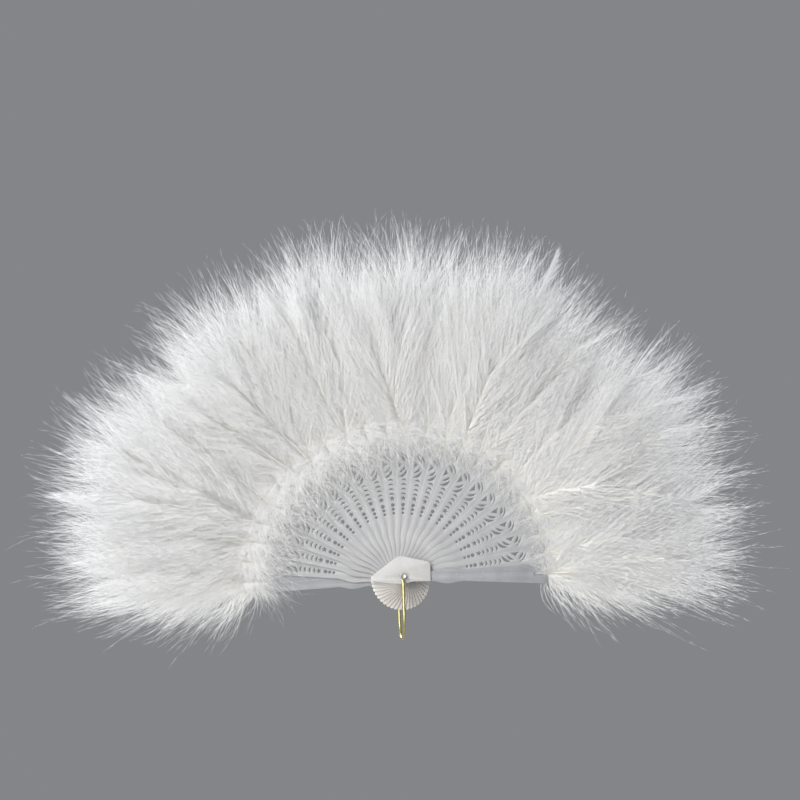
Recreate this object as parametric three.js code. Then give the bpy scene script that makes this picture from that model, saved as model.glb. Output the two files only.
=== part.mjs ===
// A folding feather fan, opened to a half circle.
// Millimetres, +Z up. The pivot axis is Y, the front of the fan faces -Y and the origin is the
// middle of the pivot. The sticks are stacked along Y: the front guard points to +X, the rear
// guard to -X, and the pierced staves fill the half circle between them, one layer each.
import * as THREE from 'three';

// The sticks: staves and guards share one outline, given as widths along the stick from the pivot.
const STICK_COUNT = 24;
const OPEN_ANGLE = THREE.MathUtils.degToRad(180);
const STICK_LENGTH = 100;
const TAIL_LENGTH = 21.8;
const HEAD_WIDTH = 10;
const NECK_WIDTH = 7;
const NECK_START = 7.5;
const NECK_END = 19.7;
const BULGE_WIDTH = 10.6;
const BULGE_AT = 31.3;
const WAIST_WIDTH = 7.8;
const WAIST_AT = 42.2;
const TIP_WIDTH = 13.8;
const TIP_CORNER = 2;

// The stack along the pivot axis.
const STAVE_THICKNESS = 0.9;
const GUARD_THICKNESS = 1.6;
const LAYER_GAP = 0.2;
const HEAD_PLATE_THICKNESS = 0.8;

// The rivet through the heads.
const RIVET_RADIUS = 1.4;
const RIVET_HEAD_RADIUS = 2.2;
const RIVET_HEAD_HEIGHT = 1.2;
const RIVET_CLEARANCE = 0.15;
const RIVET_SIDES = 16;
const PIVOT_HOLE_SIDES = 8;

// The piercing of a stave fills the strip between its waist and the plume's seat. Places and
// sizes are shares of that strip's length: three dots that grow outwards, a star, a row of
// crescents, two swept slats, two end arcs and a three-cornered hole.
const PIERCING_GAP_AT_WAIST = 2.2;
const PIERCING_GAP_AT_SEAT = 3;
const DOT_SHARES = [
  { along: 0.023, radius: 0.021 },
  { along: 0.088, radius: 0.025 },
  { along: 0.155, radius: 0.03 },
];
const DOT_SIDES = 6;
const STAR_SHARE = { along: 0.261, radius: 0.049, inner: 0.021 };
const STAR_POINTS = 5;
const CRESCENT_COUNT = 4;
const CRESCENT_PITCH_SHARE = 0.0753;
const FIRST_CRESCENT = {
  along: 0.293, across: 0, radius: 0.046, thickness: 0.027, from: -62, to: 62, steps: 3,
};
const SLAT_SHARES = [
  { along: 0.734, across: 0.099, radius: 0.132, thickness: 0.042, from: 186, to: 268, steps: 3 },
  { along: 0.808, across: 0.125, radius: 0.136, thickness: 0.037, from: 198, to: 260, steps: 3 },
  { along: 0.753, across: 0.157, radius: 0.203, thickness: 0.042, from: -60, to: -20, steps: 2 },
  { along: 0.753, across: 0.157, radius: 0.254, thickness: 0.023, from: -64, to: -23, steps: 2 },
];
const CORNER_SHARE = { along: 0.815, across: 0.076, length: 0.139, height: 0.065 };

// The plumes: a flat quill in a slot at the stick's tip, and a vane with a barbed edge. The vanes
// lie in one layer each and the layers part a little towards the tips, so that they never meet.
const QUILL_WIDTH = 1.6;
const QUILL_SEAT = 9;
const SEAT_CLEARANCE = 0.3;
const PLUME_THICKNESS = 0.6;
const PLUME_SIDE_REACH = 252;
const PLUME_TOP_REACH = 247;
const VANE_WIDTH = 96;
const VANE_START_GAP = 1.5;
const VANE_WIDEST_AT = 0.58;
const BARB_COUNT = 5;
const BARB_NOTCH = 0.74;
const LAYER_SPREAD = 0.5;

// The brass hanging loop: one wire with an eye round each end of the rivet.
const WIRE_RADIUS = 1;
const LOOP_LENGTH = 42;
const EYE_CLEARANCE = 0.3;
const EYE_ARC = 265;
const EYE_STEPS = 6;
const LOOP_BEND_STEPS = 6;
const WIRE_STEPS = 44;
const WIRE_SIDES = 6;

// The polygonal plate over the heads, in the front guard's own frame.
const PLATE_LENGTH = 19.2;
const PLATE_PEAK = 14.3;
const PLATE_PEAK_AT = -2;
const PLATE_SHOULDER = 10.1;
const PLATE_SHOULDER_AT = 16.7;
const PLATE_EDGE_STEPS = 5;

const PLASTIC = new THREE.MeshStandardMaterial({ color: 0xe4e4e6, roughness: 0.45 });
const CREAM_PLASTIC = new THREE.MeshStandardMaterial({ color: 0xecebe6, roughness: 0.4 });
const FEATHER = new THREE.MeshStandardMaterial({ color: 0xf2f1ec, roughness: 0.9 });
const BRASS = new THREE.MeshStandardMaterial({ color: 0xc9b45e, roughness: 0.25, metalness: 1 });
const SILVER = new THREE.MeshStandardMaterial({ color: 0xb9b8b2, roughness: 0.3, metalness: 1 });

const LAST = STICK_COUNT - 1;
const PITCH_ANGLE = OPEN_ANGLE / LAST;
const STACK_HALF = GUARD_THICKNESS + (STAVE_THICKNESS * (STICK_COUNT - 2) + LAYER_GAP * LAST) / 2;
const SLOT_WIDTH = QUILL_WIDTH + 2 * SEAT_CLEARANCE;
const SLOT_END = STICK_LENGTH - QUILL_SEAT - SEAT_CLEARANCE;
const VANE_START = STICK_LENGTH + VANE_START_GAP;
const HOLE_RADIUS = (RIVET_RADIUS + RIVET_CLEARANCE) / Math.cos(Math.PI / PIVOT_HOLE_SIDES);

const point = (along, across) => new THREE.Vector2(along, across);

function polar(along, across, radius, angle) {
  return point(along + radius * Math.cos(angle), across + radius * Math.sin(angle));
}

function ring(along, radius, sides) {
  const turn = (2 * Math.PI) / sides;
  return Array.from({ length: sides }, (_, i) => polar(along, 0, radius, i * turn));
}

// A solid plate in the plane of the fan, centred on its own layer.
function plate(outline, holes, thickness) {
  const shape = new THREE.Shape(outline);
  shape.holes = holes.map((hole) => new THREE.Path(hole));
  const geometry = new THREE.ExtrudeGeometry(shape, { depth: thickness, bevelEnabled: false });
  return geometry.rotateX(Math.PI / 2).translate(0, thickness / 2, 0);
}

// One side of a stick from its tail to its tip corner, eased from each width to the next.
function stickSide() {
  const tailRound = HEAD_WIDTH / 6;
  const stations = [
    { at: -TAIL_LENGTH, half: 0, steps: 1 },
    { at: -TAIL_LENGTH + tailRound / 3, half: tailRound, steps: 3 },
    { at: 0, half: HEAD_WIDTH / 2, steps: 2 },
    { at: NECK_START, half: NECK_WIDTH / 2, steps: 1 },
    { at: NECK_END, half: NECK_WIDTH / 2, steps: 3 },
    { at: BULGE_AT, half: BULGE_WIDTH / 2, steps: 3 },
    { at: WAIST_AT, half: WAIST_WIDTH / 2, steps: 1 },
    { at: STICK_LENGTH - TIP_CORNER, half: TIP_WIDTH / 2, steps: 1 },
    { at: STICK_LENGTH, half: TIP_WIDTH / 2 - TIP_CORNER, steps: 0 },
  ];
  const side = [];
  stations.slice(0, -1).forEach((from, i) => {
    const to = stations[i + 1];
    const leaf = to.at === 0;
    for (let step = 0; step < from.steps; step += 1) {
      const share = step / from.steps;
      const eased = leaf ? Math.sin((share * Math.PI) / 2) : (1 - Math.cos(share * Math.PI)) / 2;
      const at = from.at + (to.at - from.at) * share;
      side.push(point(at, from.half + (to.half - from.half) * eased));
    }
  });
  const end = stations.at(-1);
  side.push(point(end.at, end.half));
  return side;
}

const mirrored = (points) => points.map(({ x, y }) => point(x, -y)).reverse();

// The whole outline, with the quill's slot open at the tip.
function stickOutline() {
  const upper = stickSide();
  const slot = [point(STICK_LENGTH, SLOT_WIDTH / 2), point(SLOT_END, SLOT_WIDTH / 2)];
  const lower = mirrored([...upper.slice(1), ...slot]);
  return [...upper, ...slot, ...lower];
}

function star({ along, radius, inner }) {
  const turn = Math.PI / STAR_POINTS;
  return Array.from({ length: 2 * STAR_POINTS }, (_, i) => (
    polar(along, 0, i % 2 ? inner : radius, i * turn)
  ));
}

// A curved hole that is thickest in its middle and comes to a point at both ends.
function crescent({ along, across, radius, thickness, from, to, steps }) {
  const edge = (side, step) => {
    const share = step / steps;
    const angle = THREE.MathUtils.degToRad(from + (to - from) * share);
    return polar(along, across, radius + side * (thickness / 2) * Math.sin(share * Math.PI), angle);
  };
  const outer = Array.from({ length: steps + 1 }, (_, i) => edge(1, i));
  const inner = Array.from({ length: steps - 1 }, (_, i) => edge(-1, steps - 1 - i));
  return [...outer, ...inner];
}

function cornerHole({ along, across, length, height }) {
  return [
    point(along - length / 2, across + height / 3),
    point(along, across - (2 * height) / 3),
    point(along + length / 2, across + height / 3),
  ];
}

// The pattern's holes in shares, fitted to the strip between the waist and the seat.
function piercing() {
  const start = WAIST_AT + PIERCING_GAP_AT_WAIST;
  const length = SLOT_END - PIERCING_GAP_AT_SEAT - start;
  const crescents = Array.from({ length: CRESCENT_COUNT }, (_, i) => (
    crescent({ ...FIRST_CRESCENT, along: FIRST_CRESCENT.along + i * CRESCENT_PITCH_SHARE })
  ));
  const holes = [
    ...DOT_SHARES.map(({ along, radius }) => ring(along, radius, DOT_SIDES)),
    star(STAR_SHARE),
    ...crescents,
    ...SLAT_SHARES.map(crescent),
    cornerHole(CORNER_SHARE),
  ];
  return holes.map((hole) => hole.map(({ x, y }) => point(start + x * length, y * length)));
}

const pivotHole = () => ring(0, HOLE_RADIUS, PIVOT_HOLE_SIDES);

function staveGeometry() {
  return plate(stickOutline(), [pivotHole(), ...piercing()], STAVE_THICKNESS);
}

function guardGeometry() {
  return plate(stickOutline(), [pivotHole()], GUARD_THICKNESS);
}

// Half the vane's width, where share runs from the vane's start to its tip.
function vaneHalfWidth(share) {
  const past = (share - VANE_WIDEST_AT) / (1 - VANE_WIDEST_AT);
  const full = share < VANE_WIDEST_AT
    ? Math.sin((Math.PI / 2) * (share / VANE_WIDEST_AT)) ** 0.55
    : Math.sqrt(1 - past ** 2);
  return Math.max(QUILL_WIDTH / 2, (VANE_WIDTH / 2) * full);
}

function plumeOutline(reach) {
  const along = (share) => VANE_START + (reach - VANE_START) * share;
  const root = STICK_LENGTH - QUILL_SEAT;
  const upper = [point(root, QUILL_WIDTH / 2), point(VANE_START, QUILL_WIDTH / 2)];
  for (let barb = 0; barb < BARB_COUNT; barb += 1) {
    const notch = (barb + 0.2) / BARB_COUNT;
    const tip = (barb + 0.9) / BARB_COUNT;
    upper.push(point(along(notch), BARB_NOTCH * vaneHalfWidth(notch)));
    upper.push(point(along(tip), vaneHalfWidth(tip)));
  }
  return [...upper, point(reach, 0), ...mirrored(upper)];
}

// The plume of one layer: flat in its seat, then on a shallow cone about the pivot axis.
function plumeGeometry(reach, layer) {
  const geometry = plate(plumeOutline(reach), [], PLUME_THICKNESS);
  const places = geometry.attributes.position;
  for (let i = 0; i < places.count; i += 1) {
    const radius = Math.hypot(places.getX(i), places.getZ(i));
    const out = Math.max(0, radius - VANE_START) / (PLUME_SIDE_REACH - VANE_START);
    places.setY(i, places.getY(i) + layer * LAYER_SPREAD * out);
  }
  return geometry;
}

// The plate follows the guard's lower edge, and rises to a peak above the pivot.
function headPlateGeometry() {
  const lower = Array.from({ length: PLATE_EDGE_STEPS + 1 }, (_, i) => {
    const share = i / PLATE_EDGE_STEPS;
    const half = (HEAD_WIDTH / 2) * Math.sin((share * Math.PI) / 2);
    return point(-TAIL_LENGTH * (1 - share), -half);
  });
  const neck = NECK_WIDTH / 2;
  const outline = [
    ...lower,
    point(NECK_START, -neck),
    point(PLATE_LENGTH, -neck),
    point(PLATE_LENGTH, PLATE_SHOULDER - (PLATE_LENGTH - PLATE_SHOULDER_AT)),
    point(PLATE_SHOULDER_AT, PLATE_SHOULDER),
    point(PLATE_PEAK_AT, PLATE_PEAK),
  ];
  return plate(outline, [pivotHole()], HEAD_PLATE_THICKNESS);
}

// The layers outside the guards, counted outwards from each guard's face.
const PLATE_FACE = -STACK_HALF - LAYER_GAP - HEAD_PLATE_THICKNESS;
const FRONT_EYE = PLATE_FACE - LAYER_GAP - WIRE_RADIUS;
const REAR_EYE = STACK_HALF + LAYER_GAP + WIRE_RADIUS;
const FRONT_SEAT = FRONT_EYE - WIRE_RADIUS - LAYER_GAP;
const REAR_SEAT = REAR_EYE + WIRE_RADIUS + LAYER_GAP;

// A shank with a domed head at each end, turned about the pivot axis.
function rivetGeometry() {
  const head = (seat, outwards) => [
    point(RIVET_RADIUS, seat),
    point(RIVET_HEAD_RADIUS, seat),
    point(RIVET_HEAD_RADIUS, seat + outwards * RIVET_HEAD_HEIGHT * 0.4),
    point(RIVET_HEAD_RADIUS * 0.7, seat + outwards * RIVET_HEAD_HEIGHT * 0.85),
    point(0, seat + outwards * RIVET_HEAD_HEIGHT),
  ];
  const profile = [...head(FRONT_SEAT, -1).reverse(), ...head(REAR_SEAT, 1)];
  return new THREE.LatheGeometry(profile, RIVET_SIDES);
}

// One half of the loop's wire, from the end of its eye down to the foot of its straight leg.
function loopLeg(layer, straightEnd) {
  const eye = RIVET_RADIUS + EYE_CLEARANCE + WIRE_RADIUS;
  const sweep = THREE.MathUtils.degToRad(EYE_ARC);
  const last = THREE.MathUtils.degToRad(210);
  const turns = Array.from({ length: EYE_STEPS + 1 }, (_, i) => {
    const { x, y } = polar(0, 0, eye, last - sweep * (1 - i / EYE_STEPS));
    return new THREE.Vector3(x, layer, y);
  });
  const neck = new THREE.Vector3(0, layer, -eye * 2.4);
  return [...turns, neck, new THREE.Vector3(0, layer, straightEnd)];
}

function loopGeometry() {
  const bend = (REAR_EYE - FRONT_EYE) / 2;
  const middle = (REAR_EYE + FRONT_EYE) / 2;
  const bendTop = -(LOOP_LENGTH - WIRE_RADIUS - bend);
  const bottom = Array.from({ length: LOOP_BEND_STEPS - 1 }, (_, i) => {
    const angle = Math.PI * ((i + 1) / LOOP_BEND_STEPS);
    const across = middle - bend * Math.cos(angle);
    return new THREE.Vector3(0, across, bendTop - bend * Math.sin(angle));
  });
  const front = loopLeg(FRONT_EYE, bendTop);
  const rear = loopLeg(REAR_EYE, bendTop).reverse();
  const route = new THREE.CatmullRomCurve3([...front, ...bottom, ...rear], false, 'centripetal');
  const section = new THREE.Shape(ring(0, WIRE_RADIUS, WIRE_SIDES));
  return new THREE.ExtrudeGeometry(section, { steps: WIRE_STEPS, extrudePath: route });
}

function addPiece(parent, name, geometry, material, layer = 0) {
  const piece = new THREE.Mesh(geometry, material);
  piece.name = name;
  piece.position.y = layer;
  parent.add(piece);
}

// The middle of a stick's layer along the pivot axis, counted from the front guard.
function layerOf(index) {
  if (index === 0) {
    return -STACK_HALF + GUARD_THICKNESS / 2;
  }
  if (index === LAST) {
    return STACK_HALF - GUARD_THICKNESS / 2;
  }
  const first = -STACK_HALF + GUARD_THICKNESS + LAYER_GAP + STAVE_THICKNESS / 2;
  return first + (index - 1) * (STAVE_THICKNESS + LAYER_GAP);
}

const fan = new THREE.Group();
for (let index = 0; index < STICK_COUNT; index += 1) {
  const angle = index * PITCH_ANGLE;
  const layer = layerOf(index);
  const stick = new THREE.Group();
  stick.rotation.y = -angle;
  fan.add(stick);
  const number = String(index).padStart(2, '0');
  const reach = PLUME_SIDE_REACH + (PLUME_TOP_REACH - PLUME_SIDE_REACH) * Math.sin(angle);
  const plume = plumeGeometry(reach, layer);
  if (index === 0) {
    const face = -STACK_HALF - LAYER_GAP - HEAD_PLATE_THICKNESS / 2;
    addPiece(stick, 'front_guard', guardGeometry(), PLASTIC, layer);
    addPiece(stick, 'front_guard_plume', plume, FEATHER, layer);
    addPiece(stick, 'head_plate', headPlateGeometry(), CREAM_PLASTIC, face);
  } else if (index === LAST) {
    addPiece(stick, 'rear_guard', guardGeometry(), PLASTIC, layer);
    addPiece(stick, 'rear_guard_plume', plume, FEATHER, layer);
  } else {
    addPiece(stick, `stave_${number}`, staveGeometry(), PLASTIC, layer);
    addPiece(stick, `plume_${number}`, plume, FEATHER, layer);
  }
}
addPiece(fan, 'pivot_rivet', rivetGeometry(), SILVER);
addPiece(fan, 'hanging_loop', loopGeometry(), BRASS);

export default fan;
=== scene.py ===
"""The looks of an opened feather fan, in metres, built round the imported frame.

The pivot is at the origin with its axis along Y, and the front of the fan faces -Y. Each stick
points outwards from the pivot at its own angle, in its own layer along Y, and each plume is made
of real strands: quills, barbs along them, and fine barbules along every barb.
"""

import math

import bmesh
import bpy
import numpy as np
from mathutils import Matrix, Vector


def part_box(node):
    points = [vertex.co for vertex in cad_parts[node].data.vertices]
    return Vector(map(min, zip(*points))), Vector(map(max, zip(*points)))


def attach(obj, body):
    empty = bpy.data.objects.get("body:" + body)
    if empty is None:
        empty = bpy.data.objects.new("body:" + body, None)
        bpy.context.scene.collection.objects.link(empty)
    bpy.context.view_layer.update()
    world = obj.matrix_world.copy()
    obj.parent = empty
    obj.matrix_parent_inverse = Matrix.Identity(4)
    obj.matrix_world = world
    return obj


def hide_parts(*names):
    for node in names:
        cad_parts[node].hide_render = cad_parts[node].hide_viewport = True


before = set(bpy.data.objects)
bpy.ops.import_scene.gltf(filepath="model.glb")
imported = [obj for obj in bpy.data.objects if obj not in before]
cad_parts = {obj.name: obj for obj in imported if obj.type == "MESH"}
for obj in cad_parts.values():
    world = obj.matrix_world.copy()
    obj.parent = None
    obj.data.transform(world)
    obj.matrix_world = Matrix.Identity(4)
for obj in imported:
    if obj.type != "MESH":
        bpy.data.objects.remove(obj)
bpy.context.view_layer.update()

MM = 0.001
STICKS = 24
LAST = STICKS - 1
PITCH = math.pi / LAST

# Sizes along and across a stick, from the pivot
STICK_LENGTH = 100 * MM
TAIL_LENGTH = 21.8 * MM
HEAD_WIDTH = 10 * MM
NECK_WIDTH = 7 * MM
NECK_START = 7.5 * MM
NECK_END = 19.7 * MM
BULGE_WIDTH = 10.6 * MM
BULGE_AT = 31.3 * MM
WAIST_WIDTH = 7.8 * MM
WAIST_AT = 42.2 * MM
TIP_WIDTH = 13.8 * MM
TIP_CORNER = 2 * MM
SLOT_WIDTH = 2.2 * MM
SLOT_END = 90.7 * MM
EDGE_ROUND = 0.3 * MM
TAIL_ROUND = HEAD_WIDTH / 6
TAIL_ROUND_LENGTH = 1.3 * TAIL_ROUND

# The piercing, in shares of the strip between the waist and the plume's seat
WAIST_MARGIN = 2.2 * MM
SEAT_MARGIN = 3 * MM
PIERCING_START = WAIST_AT + WAIST_MARGIN
PIERCING_LENGTH = SLOT_END - SEAT_MARGIN - PIERCING_START
DOTS = [(0.023, 0.021), (0.088, 0.025), (0.155, 0.03)]
DOT_SIDES = 20
STAR_POINTS = 5
STAR_AT, STAR_RADIUS, STAR_INNER = 0.261, 0.049, 0.021
CRESCENT_COUNT, CRESCENT_PITCH = 4, 0.0753
CRESCENT = dict(along=0.293, across=0.0, radius=0.046, thickness=0.027, start=-62, stop=62)
SLATS = [
    dict(along=0.734, across=0.099, radius=0.132, thickness=0.042, start=186, stop=268),
    dict(along=0.808, across=0.125, radius=0.136, thickness=0.037, start=198, stop=260),
    dict(along=0.753, across=0.157, radius=0.203, thickness=0.042, start=-60, stop=-20),
    dict(along=0.753, across=0.157, radius=0.254, thickness=0.023, start=-64, stop=-23),
]
CORNER = dict(along=0.815, across=0.076, length=0.139, height=0.065)

# The head plate: the guard's lower edge, a straight front, and a peak above the pivot
PLATE_LENGTH = 19.2 * MM
PLATE_SHOULDER = 9.6 * MM
PLATE_PEAK = (-2.2 * MM, 14.6 * MM)
PLATE_BACK = 2.6 * MM
PLATE_BACK_TOP = 0.3 * MM
PLATE_EDGE_STEPS = 12
PLATE_ROUNDS = dict(heel=0.9 * MM, toe=0.7 * MM, shoulder=2.6 * MM, peak=3.4 * MM, back=0.9 * MM)

# The rivet: a shank with a rolled rim at each end, turned about the pivot axis.
# The rim is in shares of the head's radius and height, from its seat to the dish in its middle.
RIVET_RADIUS = 1.4 * MM
RIVET_CLEARANCE = 0.15 * MM
RIVET_HEAD_RADIUS = 2.2 * MM
RIVET_HEAD_HEIGHT = 1.2 * MM
RIVET_SIDES = 40
RIVET_HOLE_SIDES = 24
RIVET_RIM = [
    (1.0, 0.0), (1.0, 0.3), (0.97, 0.62), (0.89, 0.87), (0.78, 1.0), (0.68, 0.97), (0.6, 0.82),
    (0.54, 0.6), (0.45, 0.5), (0.25, 0.45), (0.0, 0.44),
]

# The hanging loop: one wire with an eye round each end of the rivet.
# The wire swells from the eye's to the loop's over these shares of the eye's radius.
WIRE_RADIUS = 1 * MM
LOOP_LENGTH = 42 * MM
EYE_WIRE_RADIUS = 0.38 * MM
EYE_CLEARANCE = 0.05 * MM
EYE_RADIUS = RIVET_RADIUS + EYE_CLEARANCE + EYE_WIRE_RADIUS
EYE_ARC = math.radians(265)
EYE_END = math.radians(240)
EYE_PLACES, LEG_PLACES, BEND_PLACES = 7, 5, 9
LEG_START = 2.4 * EYE_RADIUS
SWELL_START, SWELL_LENGTH = 1.05, 0.7
WIRE_STEPS_PER_SPAN = 8

# The plumes
SEED = 7
# Where a quill is seated, where its feathers part, and how far these stop short of the reach
SEAT = 91 * MM
RACHIS_START = 97 * MM
RACHIS_SHORT = 32 * MM
# How far each plume's dense down reaches, from the front guard round to the rear guard, in mm
PLUME_REACH = [
    219, 238, 227, 239, 248, 234, 227, 237, 236, 238, 219, 238,
    217, 235, 225, 226, 235, 227, 224, 239, 243, 233, 230, 220,
]
# How far each plume turns from its stick towards the tuft that it is part of, in degrees
PLUME_TURN = [
    4, 1, -1, 2, -1, -2, 0, 2, 1, 0, -2, 1,
    -1, 1, -2, 2, 1, -1, 1, 1, 0, -1, -2, -7,
]
# How far each plume leans forwards, in degrees
PLUME_LEAN = [
    1, 4, -2, 1, 6, 0, -4, 0, 3, 6, -3, 1,
    4, 0, 3, -3, 6, 1, -4, 1, 6, 1, 0, 1,
]

# A plume's feathers: how many barbs, a barb's length, and its widest angle in degrees.
# A fringe is the feather on a guard's outer side.
MAIN_BARBS, MAIN_BARB_LENGTH, MAIN_SPREAD = 165, 56 * MM, 52
SIDE_BARBS, SIDE_BARB_LENGTH, SIDE_SPREAD = 240, 54 * MM, 56
FRINGE_BARBS, FRINGE_BARB_LENGTH, FRINGE_SPREAD = 240, 36 * MM, 118
SPIKE_BARBS, SPIKE_BARB_LENGTH, SPIKE_SPREAD = 150, 17 * MM, 13
# Turns and tilts in radians, and sizes in shares of the plume's
MAIN_PLACES, MAIN_TURN = (-5, -3, -1, 1, 3, 5), 0.0275
MAIN_TURN_NOISE, MAIN_TILT_NOISE, MAIN_SIZE = 0.01, 0.02, (0.93, 1.03)
SIDE_TURN, SIDE_TILT, SIDE_SIZE = (0.05, 0.3), (0.04, 0.18), (0.88, 1.1)
SIDE_SHORT, SIDE_LONG = 0.5, 0.78
OUTER_SIDE_TURN = 0.4
FRINGE_SIZE = 0.55
# Plumes with a narrow feather in front, with where it starts, its length and its turn
SPIKES = {8: (160 * MM, 84 * MM, -0.02), 21: (180 * MM, 50 * MM, 0.01)}
SPIKE_DEPTH, SPIKE_TILT = -8 * MM, -0.02
# Plumes whose shaft lies bare in front of their down, with how far it shows and its turn
BARE_SHAFTS = {0: (140 * MM, 0.0), 1: (116 * MM, -0.03)}
BARE_SLOPE = -0.2

# A feather's barbs
# Curl, rise, depth and turn are standard deviations in radians, of a barb or of its clump.
# A barb's length first grows and then shrinks along the quill, by these starts and slopes.
QUILL_BEND = 0.06
BARB_CROWDING = 0.8
BARB_CURL, CLUMP_CURL = 0.09, 0.2
BARB_RISE, CLUMP_RISE = 0.05, 0.1
BARB_DEPTH, CLUMP_DEPTH = 0.06, 0.1
CLUMP_TURN = 0.08
BARBS_PER_CLUMP, FEWEST_CLUMPS = 8, 6
OTHER_SIDE_APART = 0.3
CLUMP_PULL, CLUMP_PULL_POWER = 0.05, 1.6
SPREAD_CLOSING, SPREAD_SHARE = 0.4, (0.4, 1)
ASIDE_CLOSING, DEPTH_CLOSING = 0.5, 0.35
BARB_GROWTH, BARB_SHRINKING = (0.55, 1.6), (1.16, 0.34)
BARB_LENGTH_NOISE = (-0.02, 0.22)

# The loose down at a plume's foot, in mm and degrees: a short ruff and a longer veil
RUFF_BARBS, RUFF_LENGTH = 150, (10, 26)
RUFF_LEAST, RUFF_LEFTWARD = 0.6, 0.9
VEIL_BARBS, VEIL_LENGTH = 120, (22, 44)
FOOT_START, FOOT_ROOM, FOOT_CROWDING = 100.8, 9, 1.7
FOOT_HANG = 0.3
FOOT_ANGLE, FOOT_ANGLE_EASE = (118, 185), (40, 50)
FOOT_LIFT, FOOT_LIFT_POWER = (28, 60), 1.5
FOOT_BEND = 0.8
FOOT_NOISE = (0.8, 1.2)
FALL_LEAST, FALL_LEFTWARD = 0.35, 0.85
FALL_PEAK, FALL_PEAK_AT, FALL_PEAK_WIDTH = 0.4, 0.72, 0.16
OVER_END_ANGLE, OVER_END_LENGTH = (140, 182), 0.55

# The barbules along a barb, in mm and degrees
BARBULES = 7
BARBULE_ENDS = (0.03, 0.97)
BARBULE_TWIST = 0.2
BARBULE_SPLAY, BARBULE_CLOSING = (4, 20), 0.6
BARBULE_LENGTH, BARBULE_GROWTH = (5.0, 10.0), 0.2

# Strands: flat, with a taper, and with a narrow column of the UV map each
QUILL_POINTS = 12
BARB_POINTS = 6
BARB_SHARE = np.linspace(0, 1, BARB_POINTS)
BARB_MIDDLE = (BARB_SHARE[1:] + BARB_SHARE[:-1]) / 2
QUILL_RADIUS = 0.42 * MM
BARB_RADIUS = 0.09 * MM
BARBULE_RADIUS = 0.06 * MM
FOOT_FINENESS = 0.65
STRAND_TWIST = 0.1
STRAND_TAPER = 0.7
STRAND_THICKNESS = 0.5
STRAND_COLUMN = 0.02
DOWN_SLOT, QUILL_SLOT = 0, 1

# The room that the down may fill: its depth, which narrows outwards, and its reach
DEPTH_LIMIT = 29 * MM
DEPTH_NARROWING = 0.4
DEPTH_NARROWEST = 1.1
DEEPEST_AT = 150 * MM
SIDE_REACH = 252 * MM
LAYER_SPREAD = 0.5
WISP_ROOM = 18 * MM
WISP_TOP = 264 * MM
WISP_SIDE = 275 * MM

# The photograph's view
IMAGE_SIDE = 800
PIVOT_PIXEL = (403.3, 576.0)
MM_PER_PIXEL = 0.68
RIVET_FRONT = -18.4 * MM
CAMERA_DISTANCE = 1.5
CAMERA_AZIMUTH = math.radians(-6.2)
CAMERA_ELEVATION = math.radians(-9.8)
CAMERA_ROLL = math.radians(1.9)
SENSOR = 36.0

# The room: lamps with their place, size and power in watts, the world, and the floor
LAMP_AIM = (0, 0, 0.1)
LAMPS = {
    "key": ((-1.0, -0.85, 0.95), 0.85, 23.0),
    "front": ((-0.75, -1.15, -0.05), 0.7, 12.4),
    "back": ((-0.3, 1.8, 1.2), 1.4, 46),
}
WORLD_COLOUR, WORLD_LIGHT = (0.95, 0.97, 1.0, 1), 0.38
BACKDROP_COLOUR = (0.23, 0.235, 0.245, 1)
FLOOR_LEVEL = -0.75
FLOOR_RADIUS, FLOOR_SIDES = 6, 96
FLOOR_SHOWN_COLOUR, FLOOR_SHOWN_SHARE = (0.44, 0.445, 0.455, 1), 0.75


# Materials
def new_material(name, roughness, metallic=0.0):
    material = bpy.data.materials.new(name)
    material.use_nodes = True
    shader = material.node_tree.nodes["Principled BSDF"]
    shader.inputs["Roughness"].default_value = roughness
    shader.inputs["Metallic"].default_value = metallic
    return material, material.node_tree, shader


def node(tree, kind, **values):
    """A new node, with values for its sockets or its own settings."""
    made = tree.nodes.new(kind)
    for key, value in values.items():
        if key in made.inputs:
            made.inputs[key].default_value = value
        else:
            setattr(made, key, value)
    return made


def ramp(tree, source, stops):
    """A colour ramp over source, with stops of (position, grey or colour)."""
    made = tree.nodes.new("ShaderNodeValToRGB")
    elements = made.color_ramp.elements
    while len(elements) < len(stops):
        elements.new(0.5)
    for element, (place, colour) in zip(elements, stops):
        element.position = place
        element.color = (*colour, 1) if isinstance(colour, tuple) else (colour,) * 3 + (1,)
    tree.links.new(source, made.inputs["Fac"])
    return made.outputs["Color"]


def noise(tree, scale, detail):
    place = tree.nodes.new("ShaderNodeTexCoord")
    made = node(tree, "ShaderNodeTexNoise", Scale=scale, Detail=detail)
    tree.links.new(place.outputs["Object"], made.inputs["Vector"])
    return made.outputs["Fac"]


def blend_colours(tree, kind, first, second):
    """A Mix node of two colour sockets, at its full strength."""
    made = tree.nodes.new("ShaderNodeMix")
    made.data_type = "RGBA"
    made.blend_type = kind
    made.inputs[0].default_value = 1.0
    tree.links.new(first, made.inputs[6])
    tree.links.new(second, made.inputs[7])
    return made.outputs[2]


def share_between(tree, value, low, high):
    """How far a value has come from low to high, from 0 to 1."""
    made = node(tree, "ShaderNodeMapRange", **{"From Min": low, "From Max": high})
    tree.links.new(value, made.inputs["Value"])
    return made.outputs["Result"]


def bump(tree, shader, height, strength, distance):
    made = node(tree, "ShaderNodeBump", Strength=strength, Distance=distance)
    tree.links.new(height, made.inputs["Height"])
    tree.links.new(made.outputs["Normal"], shader.inputs["Normal"])


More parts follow.
